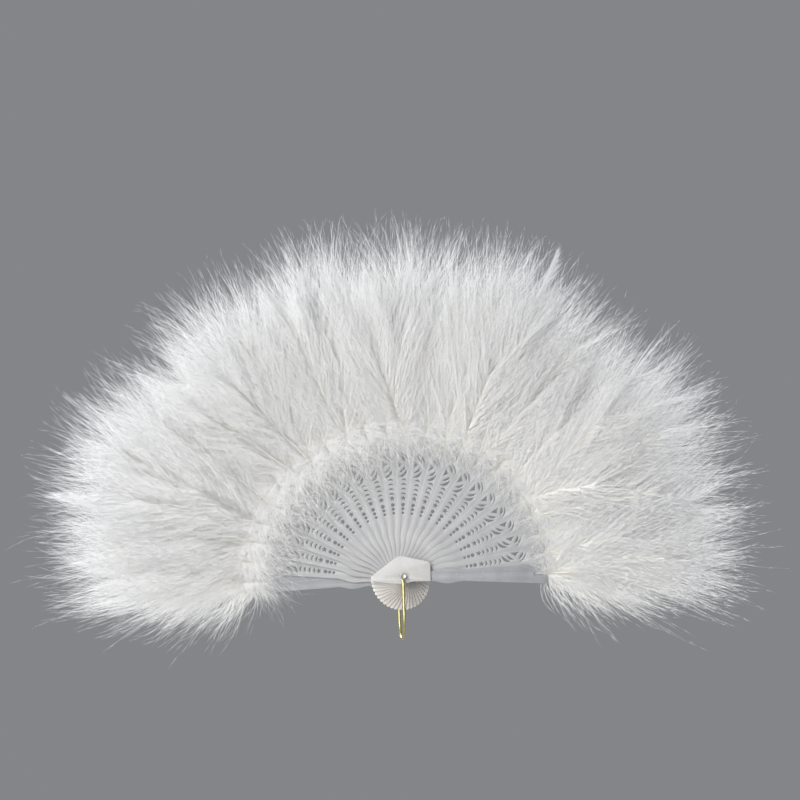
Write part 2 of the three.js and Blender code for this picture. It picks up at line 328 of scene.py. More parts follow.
def plastic(name, dark, light, roughness, tail_painted_light=(1.0, 1.0, 1.0)):
    """Moulded plastic: faint clouding, a few pale specks, and a slightly uneven gloss.

    The colour for the tails multiplies the colour below the pivot. It is painted light: it
    brightens the tails there, which the head plate and their neighbours shade, and warms them a
    little.
    """
    material, tree, shader = new_material(name, roughness)
    clouds = ramp(tree, noise(tree, 90, 4), [(0.3, dark), (0.7, light)])
    place = tree.nodes.new("ShaderNodeTexCoord")
    split = tree.nodes.new("ShaderNodeSeparateXYZ")
    tree.links.new(place.outputs["Object"], split.inputs["Vector"])
    # Painted light: below the pivot the colour is multiplied up, brightening the shaded tails.
    share = share_between(tree, split.outputs["Z"], -8 * MM, 2 * MM)
    tone = ramp(tree, share, [(0.0, tail_painted_light), (1.0, (1.0, 1.0, 1.0))])
    clouds = blend_colours(tree, "MULTIPLY", clouds, tone)
    specks = ramp(tree, noise(tree, 900, 2), [(0.66, 0.0), (0.74, 0.12)])
    colour = blend_colours(tree, "ADD", clouds, specks)
    tree.links.new(colour, shader.inputs["Base Color"])
    gloss = ramp(tree, noise(tree, 240, 3), [(0.3, roughness - 0.07), (0.7, roughness + 0.1)])
    tree.links.new(gloss, shader.inputs["Roughness"])
    bump(tree, shader, noise(tree, 420, 3), strength=0.12, distance=0.3 * MM)
    shader.inputs["Subsurface Weight"].default_value = 0.12
    shader.inputs["Subsurface Radius"].default_value = (2 * MM, 2 * MM, 2 * MM)
    return material


def metal(name, dark, light, roughness):
    """Drawn wire and turned heads: a streaky tone and fine scratches in the gloss."""
    material, tree, shader = new_material(name, roughness, 1.0)
    colour = ramp(tree, noise(tree, 300, 5), [(0.3, dark), (0.7, light)])
    tree.links.new(colour, shader.inputs["Base Color"])
    gloss = ramp(tree, noise(tree, 800, 4), [(0.3, roughness - 0.05), (0.7, roughness + 0.08)])
    tree.links.new(gloss, shader.inputs["Roughness"])
    bump(tree, shader, noise(tree, 1500, 3), strength=0.01, distance=0.1 * MM)
    return material


def down():
    """Marabou down: cream at each strand's root, white along it, with faint clouding.

    The tone also goes from cream near the sticks to a darker, cooler white at the fan's rim. That
    darkening is painted shade, which tones down the fully lit strand tips there.
    """
    material, tree, shader = new_material("down", 0.75)
    place = node(tree, "ShaderNodeUVMap", uv_map="OFBake")
    split = tree.nodes.new("ShaderNodeSeparateXYZ")
    tree.links.new(place.outputs["UV"], split.inputs["Vector"])
    along = ramp(tree, split.outputs["Y"], [
        (0.0, (0.98, 0.965, 0.92)),
        (0.25, (0.992, 0.988, 0.976)),
        (1.0, (0.997, 0.997, 0.995)),
    ])
    mottle = node(tree, "ShaderNodeTexNoise", Scale=14.0, Detail=2.0)
    tree.links.new(place.outputs["UV"], mottle.inputs["Vector"])
    clouds = ramp(tree, mottle.outputs["Fac"], [(0.25, 0.99), (0.75, 1.0)])
    tufts = ramp(tree, noise(tree, 38, 2), [(0.32, (0.964, 0.968, 0.974)), (0.62, (1.0, 1.0, 1.0))])
    # Painted shade: the down darkens and cools towards the fan's rim, where the strand tips are
    # fully lit.
    centre = tree.nodes.new("ShaderNodeTexCoord")
    away = node(tree, "ShaderNodeVectorMath", operation="LENGTH")
    tree.links.new(centre.outputs["Object"], away.inputs[0])
    outwards = share_between(tree, away.outputs["Value"], STICK_LENGTH, SIDE_REACH)
    tone = ramp(tree, outwards, [
        (0.0, (1.0, 0.996, 0.982)),
        (0.6, (1.0, 1.0, 1.0)),
        (1.0, (0.94, 0.95, 0.97)),
    ])
    colour = along
    for layer in (clouds, tufts, tone):
        colour = blend_colours(tree, "MULTIPLY", colour, layer)
    tree.links.new(colour, shader.inputs["Base Color"])
    shader.inputs["Diffuse Roughness"].default_value = 0.9
    shader.inputs["Subsurface Weight"].default_value = 0.18
    shader.inputs["Subsurface Radius"].default_value = (1.0, 1.0, 1.0)
    shader.inputs["Subsurface Scale"].default_value = 0.2 * MM
    shader.inputs["Sheen Weight"].default_value = 0.25
    shader.inputs["Sheen Roughness"].default_value = 0.6
    shader.inputs["Specular IOR Level"].default_value = 0.25
    return material


def quill_horn():
    """The quill's horn: cream, with faint clouding."""
    material, tree, shader = new_material("quill_horn", 0.35)
    stops = [(0.3, (0.84, 0.80, 0.69)), (0.7, (0.93, 0.91, 0.84))]
    tree.links.new(ramp(tree, noise(tree, 160, 4), stops), shader.inputs["Base Color"])
    bump(tree, shader, noise(tree, 700, 3), strength=0.15, distance=0.2 * MM)
    return material


# The white plastic's colour for the tails is painted light, brightening them below the pivot.
WHITE_PLASTIC = plastic(
    "white_plastic", (0.365, 0.364, 0.367), (0.415, 0.414, 0.417), 0.42, tail_painted_light=(1.65, 1.56, 1.45)
)
# Painted shade: the guards get a darker, slightly bluer copy of the staves' white plastic.
SHADED_GUARD_PLASTIC = plastic("guard_plastic_painted_shade", (0.28, 0.283, 0.294), (0.33, 0.333, 0.344), 0.45)
CREAM_PLASTIC = plastic("cream_plastic", (0.485, 0.475, 0.461), (0.535, 0.525, 0.511), 0.38)
BRASS = metal("brass", (0.57, 0.51, 0.21), (0.67, 0.60, 0.27), 0.38)
RIVET_METAL = metal("rivet_metal", (0.58, 0.56, 0.50), (0.66, 0.64, 0.58), 0.5)
DOWN = down()
QUILL = quill_horn()


# Making objects
def add_object(name, mesh, *materials):
    for material in materials:
        mesh.materials.append(material)
    made = bpy.data.objects.new(name, mesh)
    bpy.context.scene.collection.objects.link(made)
    return made


def stand_for(piece, node_name, body):
    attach(piece, body)
    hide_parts(node_name)


def clean_up(work, mesh, sharp):
    """Joins a shape's doubled points, puts it in mesh, and shades it smooth up to sharp degrees."""
    bmesh.ops.remove_doubles(work, verts=work.verts, dist=0.004 * MM)
    bmesh.ops.recalc_face_normals(work, faces=work.faces)
    work.to_mesh(mesh)
    work.free()
    mesh.shade_smooth()
    mesh.set_sharp_from_angle(angle=math.radians(sharp))


def mesh_of_curve(curve):
    holder = bpy.data.objects.new("curve", curve)
    bpy.context.scene.collection.objects.link(holder)
    bpy.context.view_layer.update()
    depsgraph = bpy.context.evaluated_depsgraph_get()
    mesh = bpy.data.meshes.new_from_object(holder.evaluated_get(depsgraph))
    bpy.data.objects.remove(holder)
    mesh.materials.clear()
    work = bmesh.new()
    work.from_mesh(mesh)
    clean_up(work, mesh, 35)
    return mesh


def flat_mesh(rings, thickness):
    """A plate with rounded edges from closed rings of (along, across), the outline first."""
    curve = bpy.data.curves.new("plate", "CURVE")
    curve.dimensions = "2D"
    curve.fill_mode = "BOTH"
    curve.extrude = thickness / 2 - EDGE_ROUND
    curve.bevel_depth = EDGE_ROUND
    curve.bevel_resolution = 1
    curve.offset = -EDGE_ROUND
    for ring in rings:
        spline = curve.splines.new("POLY")
        spline.points.add(len(ring) - 1)
        spline.use_cyclic_u = True
        for place, (along, across) in zip(spline.points, ring):
            place.co = (along, across, 0, 1)
    mesh = mesh_of_curve(curve)
    mesh.transform(Matrix.Rotation(math.pi / 2, 4, "X"))
    return mesh


# Sticks
def ring_of(along, radius, count):
    turn = 2 * math.pi / count
    return [
        (along + radius * math.cos(i * turn), radius * math.sin(i * turn)) for i in range(count)
    ]


# Ways from one width of a stick to the next: the shares of the length and of the change in width
def smooth(share):
    return share, (1 - math.cos(share * math.pi)) / 2


def round_start(share):
    return 1 - math.cos(share * math.pi / 2), math.sin(share * math.pi / 2)


def quick_start(share):
    return share, math.sin(share * math.pi / 2)


def round_end(share):
    return math.sin(share * math.pi / 2), 1 - math.cos(share * math.pi / 2)


def stick_side():
    """One side from the tail to the tip corner, with the steps and the way to each next place."""
    tip = (STICK_LENGTH, TIP_WIDTH / 2 - TIP_CORNER)
    stations = [
        (-TAIL_LENGTH, 0.0, 5, round_start),
        (-TAIL_LENGTH + TAIL_ROUND_LENGTH, TAIL_ROUND, 12, quick_start),
        (0.0, HEAD_WIDTH / 2, 6, smooth),
        (NECK_START, NECK_WIDTH / 2, 2, smooth),
        (NECK_END, NECK_WIDTH / 2, 10, smooth),
        (BULGE_AT, BULGE_WIDTH / 2, 10, smooth),
        (WAIST_AT, WAIST_WIDTH / 2, 1, smooth),
        (STICK_LENGTH - TIP_CORNER, TIP_WIDTH / 2, 4, round_end),
    ]
    ends = [station[:2] for station in stations[1:]] + [tip]
    side = []
    for (start, half, steps, way), (stop, next_half) in zip(stations, ends):
        for step in range(steps):
            along, across = way(step / steps)
            side.append((start + (stop - start) * along, half + (next_half - half) * across))
    return side + [tip]


def stick_outline():
    upper = stick_side()
    upper += [(STICK_LENGTH, SLOT_WIDTH / 2), (SLOT_END, SLOT_WIDTH / 2)]
    lower = [(along, -across) for along, across in reversed(upper[1:])]
    return upper + lower


def crescent(along, across, radius, thickness, start, stop, steps=10):
    """A curved hole that is thickest in its middle and comes to a point at both ends."""
    def edge(side, step):
        share = step / steps
        angle = math.radians(start + (stop - start) * share)
        out = radius + side * thickness / 2 * math.sin(share * math.pi)
        return along + out * math.cos(angle), across + out * math.sin(angle)

    outer = [edge(1, step) for step in range(steps + 1)]
    return outer + [edge(-1, step) for step in range(steps - 1, 0, -1)]


def star():
    turn = math.pi / STAR_POINTS
    places = []
    for i in range(2 * STAR_POINTS):
        radius = STAR_INNER if i % 2 else STAR_RADIUS
        places.append((STAR_AT + radius * math.cos(i * turn), radius * math.sin(i * turn)))
    return places


def piercing():
    """A stave's holes: dots, a star, crescents, slats and a three-cornered hole."""
    along, across = CORNER["along"], CORNER["across"]
    half, height = CORNER["length"] / 2, CORNER["height"]
    corner = [
        (along - half, across + height / 3),
        (along, across - 2 * height / 3),
        (along + half, across + height / 3),
    ]
    crescents = [
        crescent(**{**CRESCENT, "along": CRESCENT["along"] + i * CRESCENT_PITCH})
        for i in range(CRESCENT_COUNT)
    ]
    holes = [ring_of(place, radius, DOT_SIDES) for place, radius in DOTS]
    holes += [star(), *crescents, *[crescent(**slat) for slat in SLATS], corner]
    return [
        [(PIERCING_START + x * PIERCING_LENGTH, y * PIERCING_LENGTH) for x, y in hole]
        for hole in holes
    ]


def stick_names(index):
    """The names of a stick's node, plume node and body."""
    if index == 0:
        return "front_guard", "front_guard_plume", "front_stick"
    if index == LAST:
        return "rear_guard", "rear_guard_plume", "rear_stick"
    return f"stave_{index:02d}", f"plume_{index:02d}", f"stick_{index:02d}"


def turned_to(index, layer):
    """Puts a shape made along +X in a stick's place."""
    return Matrix.Translation((0, layer, 0)) @ Matrix.Rotation(-index * PITCH, 4, "Y")


PIVOT_HOLE = ring_of(0, RIVET_RADIUS + RIVET_CLEARANCE, RIVET_HOLE_SIDES)


def make_sticks():
    low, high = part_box("stave_01")
    stave = flat_mesh([stick_outline(), PIVOT_HOLE, *piercing()], high.y - low.y)
    low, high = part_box("front_guard")
    guard = flat_mesh([stick_outline(), PIVOT_HOLE], high.y - low.y)
    for index in range(STICKS):
        node_name, _, body = stick_names(index)
        low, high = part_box(node_name)
        mesh = (guard if index in (0, LAST) else stave).copy()
        mesh.transform(turned_to(index, (low.y + high.y) / 2))
        # The guards' darker plastic is painted shade.
        finish = SHADED_GUARD_PLASTIC if index in (0, LAST) else WHITE_PLASTIC
        piece = add_object(f"{node_name}_moulding", mesh, finish)
        stand_for(piece, node_name, body)


# The head plate, the rivet and the loop
def rounded(before, corner, after, cut, steps=6):
    """A corner eased into a curve that starts and ends at a cut from it."""
    before, corner, after = Vector(before), Vector(corner), Vector(after)
    first = corner + (before - corner).normalized() * cut
    last = corner + (after - corner).normalized() * cut
    shares = [i / steps for i in range(steps + 1)]
    return [tuple(first * (1 - t) ** 2 + corner * 2 * t * (1 - t) + last * t**2) for t in shares]


def make_head_plate():
    deepest = HEAD_WIDTH / 2 - PLATE_BACK
    lower = []
    for i in range(1, PLATE_EDGE_STEPS + 1):
        share = i / PLATE_EDGE_STEPS
        across = -PLATE_BACK - deepest * math.sin(share * math.pi / 2)
        lower.append((-TAIL_LENGTH * (1 - share), across))
    back = (-TAIL_LENGTH, PLATE_BACK_TOP)
    heel = (-TAIL_LENGTH, -PLATE_BACK)
    neck = (NECK_START, -NECK_WIDTH / 2)
    toe = (PLATE_LENGTH, -NECK_WIDTH / 2)
    shoulder = (PLATE_LENGTH, PLATE_SHOULDER)
    outline = [
        *rounded(back, heel, lower[0], PLATE_ROUNDS["heel"]),
        *lower,
        neck,
        *rounded(neck, toe, shoulder, PLATE_ROUNDS["toe"]),
        *rounded(toe, shoulder, PLATE_PEAK, PLATE_ROUNDS["shoulder"]),
        *rounded(shoulder, PLATE_PEAK, back, PLATE_ROUNDS["peak"]),
        *rounded(PLATE_PEAK, back, heel, PLATE_ROUNDS["back"]),
    ]
    low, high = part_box("head_plate")
    mesh = flat_mesh([outline, PIVOT_HOLE], high.y - low.y)
    mesh.transform(turned_to(0, (low.y + high.y) / 2))
    piece = add_object("head_plate_moulding", mesh, CREAM_PLASTIC)
    stand_for(piece, "head_plate", "front_stick")


def rivet_head(end, outwards):
    """The profile of a head, as (radius, y), from the shank to the middle of its dish."""
    seat = end - outwards * RIVET_HEAD_HEIGHT
    rim = [
        (out * RIVET_HEAD_RADIUS, seat + outwards * up * RIVET_HEAD_HEIGHT)
        for out, up in RIVET_RIM
    ]
    return [(RIVET_RADIUS, seat), *rim]


def make_rivet():
    low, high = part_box("pivot_rivet")
    profile = rivet_head(low.y, -1)[::-1] + rivet_head(high.y, 1)
    work = bmesh.new()
    places = [work.verts.new((radius, y, 0)) for radius, y in profile]
    edges = [work.edges.new(pair) for pair in zip(places, places[1:])]
    bmesh.ops.spin(
        work, geom=places + edges, cent=(0, 0, 0), axis=(0, 1, 0), angle=2 * math.pi,
        steps=RIVET_SIDES,
    )
    mesh = bpy.data.meshes.new("pivot_rivet_turned")
    clean_up(work, mesh, 40)
    piece = add_object("pivot_rivet_turned", mesh, RIVET_METAL)
    stand_for(piece, "pivot_rivet", "rear_stick")


def smooth_route(places, steps):
    """A Catmull-Rom line through places, with steps from each to the next."""
    places = [2 * places[0] - places[1], *places, 2 * places[-1] - places[-2]]
    line = []
    for a, b, c, d in zip(places, places[1:], places[2:], places[3:]):
        for t in np.arange(steps) / steps:
            line.append(0.5 * (
                2 * b
                + (c - a) * t
                + (2 * a - 5 * b + 4 * c - d) * t**2
                + (3 * b - a - 3 * c + d) * t**3
            ))
    return line + [places[-2]]


def loop_leg(layer, straight_end):
    """Places along one leg of the loop, from its eye's open end down to straight_end."""
    turns = []
    for share in np.linspace(0, 1, EYE_PLACES):
        angle = EYE_END - EYE_ARC * (1 - share)
        turns.append(Vector((EYE_RADIUS * math.cos(angle), layer, EYE_RADIUS * math.sin(angle))))
    straight = np.linspace(-LEG_START, straight_end, LEG_PLACES)
    return turns + [Vector((0, layer, z)) for z in straight]


def make_loop():
    low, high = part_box("hanging_loop")
    front, rear = low.y + WIRE_RADIUS, high.y - WIRE_RADIUS
    bend, middle = (rear - front) / 2, (rear + front) / 2
    bend_top = -(LOOP_LENGTH - WIRE_RADIUS - bend)
    bottom = []
    for angle in np.linspace(0, math.pi, BEND_PLACES)[1:-1]:
        y, z = middle - bend * math.cos(angle), bend_top - bend * math.sin(angle)
        bottom.append(Vector((0, y, z)))
    places = loop_leg(front, bend_top) + bottom + loop_leg(rear, bend_top)[::-1]
    route = smooth_route(places, WIRE_STEPS_PER_SPAN)
    curve = bpy.data.curves.new("loop", "CURVE")
    curve.dimensions = "3D"
    curve.bevel_depth = WIRE_RADIUS
    curve.bevel_resolution = 4
    curve.use_fill_caps = True
    spline = curve.splines.new("POLY")
    spline.points.add(len(route) - 1)
    thin = EYE_WIRE_RADIUS / WIRE_RADIUS
    for place, at in zip(spline.points, route):
        share = (math.hypot(at.x, at.z) / EYE_RADIUS - SWELL_START) / SWELL_LENGTH
        share = min(max(share, 0), 1)
        place.co = (*at, 1)
        place.radius = thin + (1 - thin) * share * share * (3 - 2 * share)
    piece = add_object("hanging_loop_wire", mesh_of_curve(curve), BRASS)
    stand_for(piece, "hanging_loop", "loop")


# Plumes
def strand_faces(points):
    """The triangles of one strand: its root, rings of three corners, and its tip."""
    faces = [(0, 2, 1)]
    for ring in range(points - 2):
        for corner in range(3):
            a = 3 * ring + corner
            b = 3 * ring + (corner + 1) % 3
            faces += [(a, b, b + 3), (a, b + 3, a + 3)]
    last = 3 * (points - 2)
    tip = last + 3
    faces += [(last + corner, last + (corner + 1) % 3, tip) for corner in range(3)]
    return np.array(faces)


def strand_places(rng, lines, radius, share):
    """The corners of flat strands along lines, their broad sides to the front and back."""
    count = len(lines)
    heading = lines[:, -1] - lines[:, 0]
    broad = np.array([0.0, 1.0, 0.0]) + rng.normal(0, STRAND_TWIST, (count, 3))
    across = np.cross(heading, broad * rng.choice([-1.0, 1.0], (count, 1)))
    across /= np.linalg.norm(across, axis=1, keepdims=True)
    up = np.cross(heading, across)
    up /= np.linalg.norm(up, axis=1, keepdims=True)
    size = radius * (1 - share) ** STRAND_TAPER
    rings = []
    for way in (across, STRAND_THICKNESS * up, -across):
        rings.append(lines[:, :-1] + size[None, :, None] * way[:, None, :])
    body = np.stack(rings, axis=2).reshape(count, -1, 3)
    return np.concatenate([body, lines[:, -1:]], axis=1)


def strand_mesh(groups):
    """One mesh of closed strands that taper to a point.

    Each group is (centre lines of shape (count, points, 3), half width, first and last V, slot).
    """
    all_places, all_faces, all_uv, all_slots = [], [], [], []
    start = 0
    rng = np.random.default_rng(SEED)
    for lines, radius, (v0, v1), slot in groups:
        count, points, _ = lines.shape
        share = np.arange(points - 1) / (points - 1)
        places = strand_places(rng, lines, radius, share)
        per = places.shape[1]
        offsets = start + per * np.arange(count)
        faces = strand_faces(points)[None] + offsets[:, None, None]
        column = rng.random(count)[:, None] * (1 - STRAND_COLUMN)
        corners = np.tile([0.0, STRAND_COLUMN / 2, STRAND_COLUMN], points - 1)
        u = np.append(corners, STRAND_COLUMN / 2)
        v = np.append(np.repeat(share, 3), 1.0)
        uv = np.stack(np.broadcast_arrays(column + u[None], (v0 + (v1 - v0) * v)[None]), axis=2)
        all_places.append(places.reshape(-1, 3))
        all_faces.append(faces.reshape(-1, 3))
        all_uv.append(uv.reshape(-1, 2))
        all_slots.append(np.full(len(all_faces[-1]), slot))
        start += per * count
    places = np.concatenate(all_places)
    faces = np.concatenate(all_faces)
    uv = np.concatenate(all_uv)[faces.ravel()]
    mesh = bpy.data.meshes.new("plume")
    mesh.vertices.add(len(places))
    mesh.loops.add(faces.size)
    mesh.polygons.add(len(faces))
    mesh.vertices.foreach_set("co", places.astype(np.float32).ravel())
    mesh.loops.foreach_set("vertex_index", faces.astype(np.int32).ravel())
    mesh.polygons.foreach_set("loop_start", np.arange(0, faces.size, 3, dtype=np.int32))
    mesh.polygons.foreach_set("material_index", np.concatenate(all_slots).astype(np.int32))
    layer = mesh.uv_layers.new(name="OFBake")
    layer.uv.foreach_set("vector", uv.astype(np.float32).ravel())
    mesh.update(calc_edges=True)
    return mesh


def walk(roots, ways, length):
    """Centre lines from roots, in equal steps along unit ways, each of its own length."""
    steps = ways * (length / (BARB_POINTS - 1))[:, None, None]
    start = np.zeros((len(roots), 1, 3))
    return np.concatenate([start, np.cumsum(steps, axis=1)], axis=1) + roots[:, None, :]


def barb_lines(rng, roots, forward, sideways, leave, depth, length, clump):
    """Curved centre lines of barbs, which bend towards the feather's own heading as they go.

    forward and sideways are the feather's directions, leave and depth each barb's angles from them.
    """
    count = len(roots)
    together = rng.normal(0, 1, (2, clump.max() + 1))[:, clump]
    curl = CLUMP_CURL * together[0] + rng.normal(0, BARB_CURL, count)
    rise = CLUMP_RISE * together[1] + rng.normal(0, BARB_RISE, count)
    a = leave[:, None] * (1 - ASIDE_CLOSING * BARB_MIDDLE) + curl[:, None] * BARB_MIDDLE**2
    b = depth[:, None] * (1 - DEPTH_CLOSING * BARB_MIDDLE) + rise[:, None] * BARB_MIDDLE**2
    ways = (
        (np.cos(a) * np.cos(b))[..., None] * forward
        + (np.sin(a) * np.cos(b))[..., None] * sideways
        + np.sin(b)[..., None] * np.array([0.0, 1.0, 0.0])
    )
    lines = walk(roots, ways, length)
    gather = CLUMP_PULL * BARB_SHARE[None, :, None] ** CLUMP_PULL_POWER
    for group in np.unique(clump):
        inside = clump == group
        lines[inside] += (lines[inside].mean(axis=0)[None] - lines[inside]) * gather
    return lines


def feather(rng, count, root, heading, tilt, size, barb_length, spread, sides=(-1, 1)):
    """A quill and its barbs: one soft feather from root, heading radians aside, tilted in depth."""
    forward = np.array([math.cos(heading) * math.cos(tilt), math.sin(tilt), math.sin(heading)])
    sideways = np.array([-math.sin(heading), 0.0, math.cos(heading)])
    bend = rng.normal(0, QUILL_BEND) * size

    def quill(t):
        ahead = np.multiply.outer(t, forward * size)
        return np.array(root) + ahead + np.multiply.outer(t**2, sideways * bend)

    t = ((np.arange(count) + rng.random(count)) / count) ** BARB_CROWDING
    side = rng.choice(sides, count)
    clumps = max(FEWEST_CLUMPS, count // BARBS_PER_CLUMP)
    clump_t = rng.random(clumps)
    clump_side = rng.choice(sides, clumps)
    apart = np.abs(t[:, None] - clump_t) + OTHER_SIDE_APART * (side[:, None] != clump_side)
    clump = apart.argmin(axis=1)
    leave = np.radians(spread * (1 - SPREAD_CLOSING * t)) * rng.uniform(*SPREAD_SHARE, count)
    leave += rng.normal(0, CLUMP_TURN, clumps)[clump]
    depth = rng.normal(0, BARB_DEPTH, count) + rng.normal(0, CLUMP_DEPTH, clumps)[clump]
    growing = BARB_GROWTH[0] + BARB_GROWTH[1] * t
    shrinking = BARB_SHRINKING[0] - BARB_SHRINKING[1] * t
    length = barb_length * np.minimum(growing, shrinking)
    length *= np.exp(rng.normal(*BARB_LENGTH_NOISE, count))
    barbs = barb_lines(rng, quill(t), forward, sideways, side * leave, depth, length, clump)
    return quill(np.linspace(0, 1, QUILL_POINTS))[None], barbs


def foot_down(rng, index, outer):
    """Loose barbs at a plume's foot that fall back over the stave's tip.

    They are longest on the fan's upper left, and more hang on the lower side of their stave.
    outer is the side of a guard that has no neighbour. There the rear guard's lie short over its
    end, and the front guard has none.
    """
    leftward = index / LAST
    ruff_count = int(RUFF_BARBS * (RUFF_LEAST + RUFF_LEFTWARD * leftward))
    count = ruff_count + VEIL_BARBS
    roots = np.zeros((count, 3))
    along = rng.random(count) ** FOOT_CROWDING
    roots[:, 0] = (FOOT_START + FOOT_ROOM * along) * MM
    face = rng.choice([-1.0, 1.0], count)
    side = np.where(rng.random(count) < 0.5 - FOOT_HANG * math.cos(index * PITCH), 1, -1)
    least, most = (start - ease * along for start, ease in zip(FOOT_ANGLE, FOOT_ANGLE_EASE))
    angle = rng.uniform(least, most)
    over_end = (side == outer) & (index == LAST)
    if index == LAST:
        angle = np.where(over_end, rng.uniform(*OVER_END_ANGLE, count), angle)
    else:
        side = np.where(side == outer, -side, side)
    angle = np.radians(angle) * side
    ruff = rng.uniform(*RUFF_LENGTH, ruff_count)
    veil = rng.uniform(*VEIL_LENGTH, VEIL_BARBS)
    peak = math.exp(-(((leftward - FALL_PEAK_AT) / FALL_PEAK_WIDTH) ** 2))
    fall = FALL_LEAST + FALL_LEFTWARD * leftward + FALL_PEAK * peak
    length = np.concatenate([ruff, veil]) * fall * rng.uniform(*FOOT_NOISE) * MM
    length = np.where(over_end, OVER_END_LENGTH * length, length)
    lift = np.radians(rng.uniform(*FOOT_LIFT, count))
    b = lift[:, None] * (1 - BARB_MIDDLE) ** FOOT_LIFT_POWER
    bend = rng.normal(0, FOOT_BEND, count)
    bend = -side * np.abs(bend) if outer else bend
    a = angle[:, None] + bend[:, None] * BARB_MIDDLE**2
    ways = [np.cos(a) * np.cos(b), face[:, None] * np.sin(b), np.sin(a) * np.cos(b)]
    return walk(roots, np.stack(ways, axis=2), length)


def barbule_lines(rng, barbs):
    """Fine strands along every barb, splayed wide at its root and close to it at its end."""
    count = len(barbs)
    s = (np.arange(BARBULES)[None] + rng.random((count, BARBULES))) / BARBULES
    s = np.clip(s, *BARBULE_ENDS)
    span = s * (BARB_POINTS - 1)
    low = np.minimum(span.astype(int), BARB_POINTS - 2)
    rest = (span - low)[..., None]
    rows = np.arange(count)[:, None]
    at = barbs[rows, low] * (1 - rest) + barbs[rows, low + 1] * rest
    way = barbs[rows, low + 1] - barbs[rows, low]
    way /= np.linalg.norm(way, axis=2, keepdims=True)
    spread = np.cross(way, np.array([0.0, 1.0, 0.0]) + rng.normal(0, BARBULE_TWIST, way.shape))
    spread *= rng.choice([-1.0, 1.0], s.shape)[..., None]
    spread /= np.linalg.norm(spread, axis=2, keepdims=True)
    splay = np.radians(rng.uniform(*BARBULE_SPLAY, s.shape) * (1 - BARBULE_CLOSING * s))[..., None]
    size = (rng.uniform(*BARBULE_LENGTH, s.shape) * (1 + BARBULE_GROWTH * s) * MM)[..., None]
    tips = at + (way * np.cos(splay) + spread * np.sin(splay)) * size
    return np.stack([at, tips], axis=2).reshape(-1, 2, 3)


def plume_feathers(rng, index, outer):
    """A plume's feathers, each as its quill and barbs.

    The main ones fan out in the plume's plane, and two side ones stand off each of its faces.
    """
    size = PLUME_REACH[index] * MM - RACHIS_START - RACHIS_SHORT
    aside = math.radians(PLUME_TURN[index])
    side = rng.choice([-1, 1])
    lean = -math.radians(PLUME_LEAN[index])
    root = (RACHIS_START, 0.0, 0.0)
    made = []
    for place in MAIN_PLACES:
        heading = MAIN_TURN * place + rng.normal(0, MAIN_TURN_NOISE) + aside
        length = size * rng.uniform(*MAIN_SIZE)
        tilt = lean + rng.normal(0, MAIN_TILT_NOISE)
        made.append(feather(
            rng, MAIN_BARBS, root, heading, tilt, length, MAIN_BARB_LENGTH, MAIN_SPREAD
        ))
    for face, turn, share in (
        (-1, side, SIDE_SHORT), (-1, -side, SIDE_LONG), (1, -side, SIDE_SHORT), (1, side, SIDE_LONG)
    ):
        heading = turn * rng.uniform(*SIDE_TURN) * (OUTER_SIDE_TURN if turn == outer else 1) + aside
        tilt = lean + face * rng.uniform(*SIDE_TILT)
        length = size * share * rng.uniform(*SIDE_SIZE)
        made.append(feather(
            rng, SIDE_BARBS, root, heading, tilt, length, SIDE_BARB_LENGTH, SIDE_SPREAD
        ))
    if outer:
        made.append(feather(
            rng, FRINGE_BARBS, root, 0.0, lean, FRINGE_SIZE * size, FRINGE_BARB_LENGTH,
            FRINGE_SPREAD, (outer,),
        ))
    if index in SPIKES:
        start, length, heading = SPIKES[index]
        made.append(feather(
            rng, SPIKE_BARBS, (start, SPIKE_DEPTH, 0.0), heading, SPIKE_TILT, length,
            SPIKE_BARB_LENGTH, SPIKE_SPREAD,
        ))
    return made


def plume_lines(index):
    """Centre lines of a plume along +X, with depth along Y.

    They are its quills, barbs and barbules, and those of the loose down at its foot.
    """
    rng = np.random.default_rng(SEED + index)
    outer = {0: -1, LAST: 1}.get(index, 0)
    feathers = plume_feathers(rng, index, outer)
    seat, root = np.array([SEAT, 0.0, 0.0]), np.array([RACHIS_START, 0.0, 0.0])
    quills = [np.linspace(seat, root, QUILL_POINTS)[None], *[quill for quill, _ in feathers]]
    if index in BARE_SHAFTS:
        stop, turn = BARE_SHAFTS[index]
        ahead = np.array([1.0, BARE_SLOPE, turn]) * (stop - RACHIS_START)
        quills.append(np.linspace(root, root + ahead, QUILL_POINTS)[None])
    barbs = np.concatenate([barbs for _, barbs in feathers])
    foot = foot_down(rng, index, outer)
    barbules = barbule_lines(rng, barbs)
    foot_barbules = barbule_lines(rng, foot)[::2]
    return np.concatenate(quills), barbs, barbules, foot, foot_barbules


def into_layer(lines, layer, furthest):
    """Moves lines into their layer, on its shallow cone, and inside the fan's depth and reach."""
    radius = np.hypot(lines[..., 0], lines[..., 2])
    out = np.clip((radius - STICK_LENGTH) / (SIDE_REACH - STICK_LENGTH), 0, 1)
    depth = lines[..., 1] + layer * (1 + LAYER_SPREAD * out)
    past = np.clip((radius - DEEPEST_AT) / (SIDE_REACH - DEEPEST_AT), 0, DEPTH_NARROWEST)
    limit = DEPTH_LIMIT * (1 - DEPTH_NARROWING * past**2)
    lines[..., 1] = limit * np.tanh(depth / limit)
    start = furthest - WISP_ROOM
    over = np.maximum(0, radius - start)
    held = start + WISP_ROOM * np.tanh(over / WISP_ROOM)
    shrink = np.where(over > 0, held / np.maximum(radius, MM), 1)
    lines[..., 0] *= shrink
    lines[..., 2] *= shrink
    return lines


